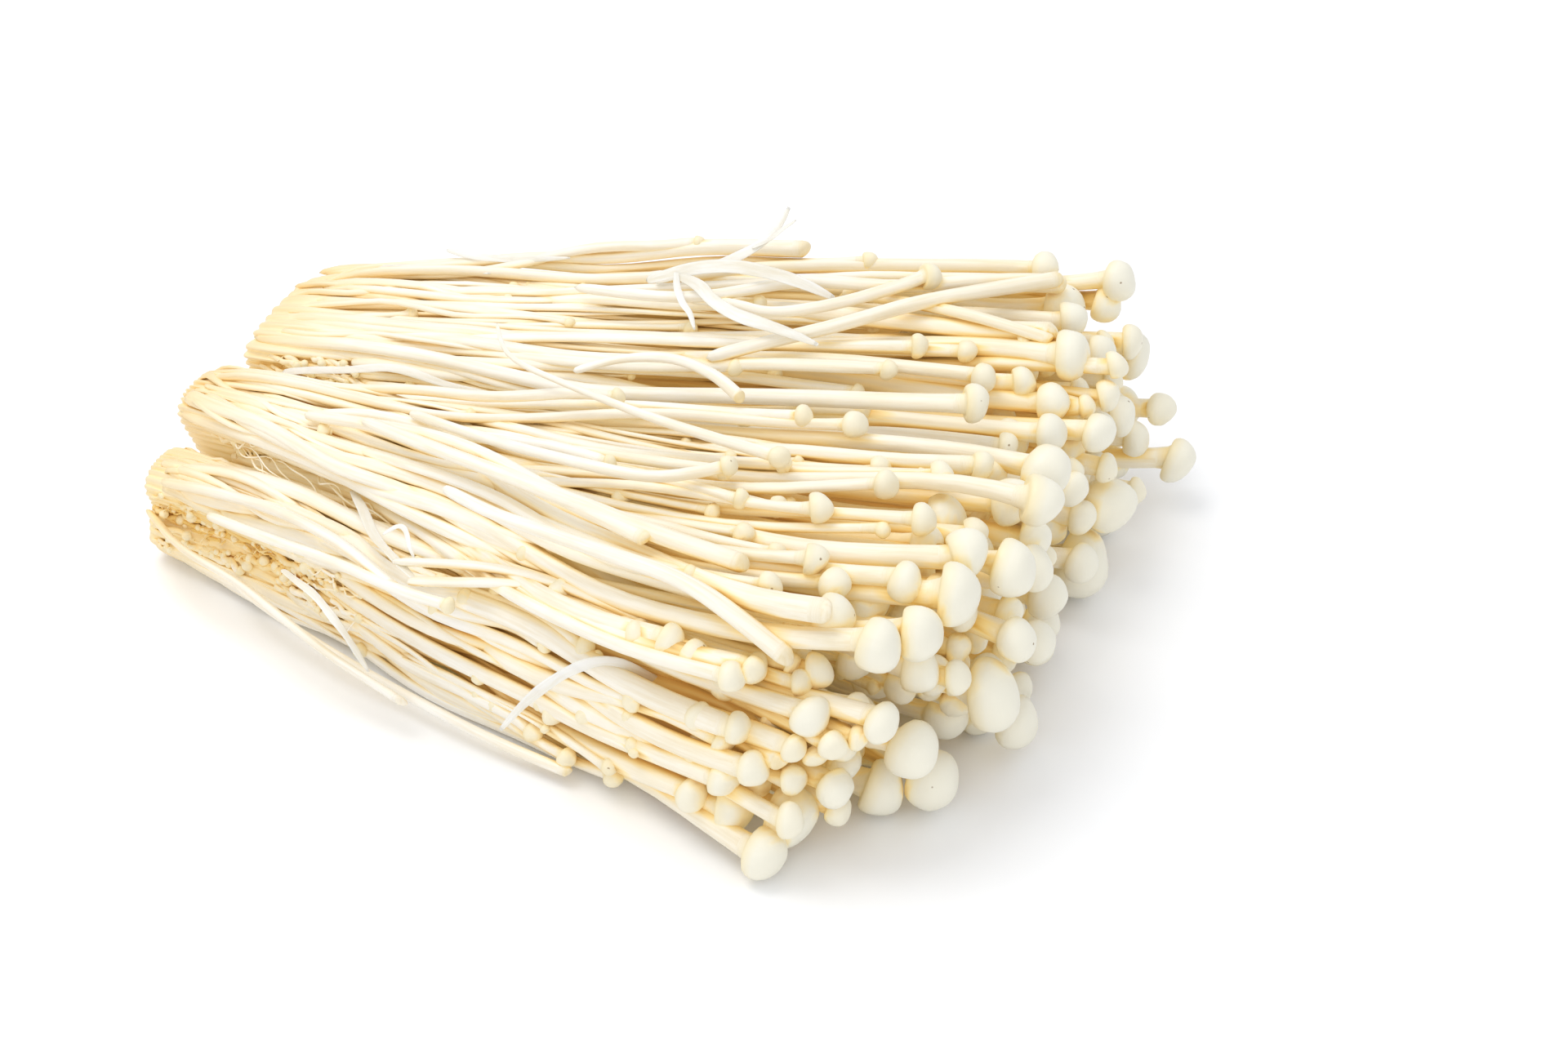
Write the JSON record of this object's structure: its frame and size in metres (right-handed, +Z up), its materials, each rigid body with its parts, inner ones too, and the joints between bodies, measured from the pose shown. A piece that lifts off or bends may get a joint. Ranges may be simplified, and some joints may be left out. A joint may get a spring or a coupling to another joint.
{
  "type": "enoki mushroom bunch",
  "caption": "Bunch of enoki mushrooms lying on its side: long thin pale stems, pressed together at the cut foot and fanning out to small round caps.",
  "frame": {"origin": "on the table, on the flat underside of the middle clump, under the middle of the bunch", "axes": "+X along the stems from the cut foot to the caps, +Y across the bunch towards the rear clump, +Z up"},
  "size_m": [0.1514, 0.1254, 0.0443],
  "materials": {
    "rear_clump": "smooth moist mushroom flesh, creamy white",
    "middle_clump": "smooth moist mushroom flesh, creamy white",
    "front_clump": "smooth moist mushroom flesh, cream"
  },
  "bodies": {
    "root": {"rear_clump": "rear_clump", "middle_clump": "middle_clump", "front_clump": "front_clump"}
  },
  "joints": []
}
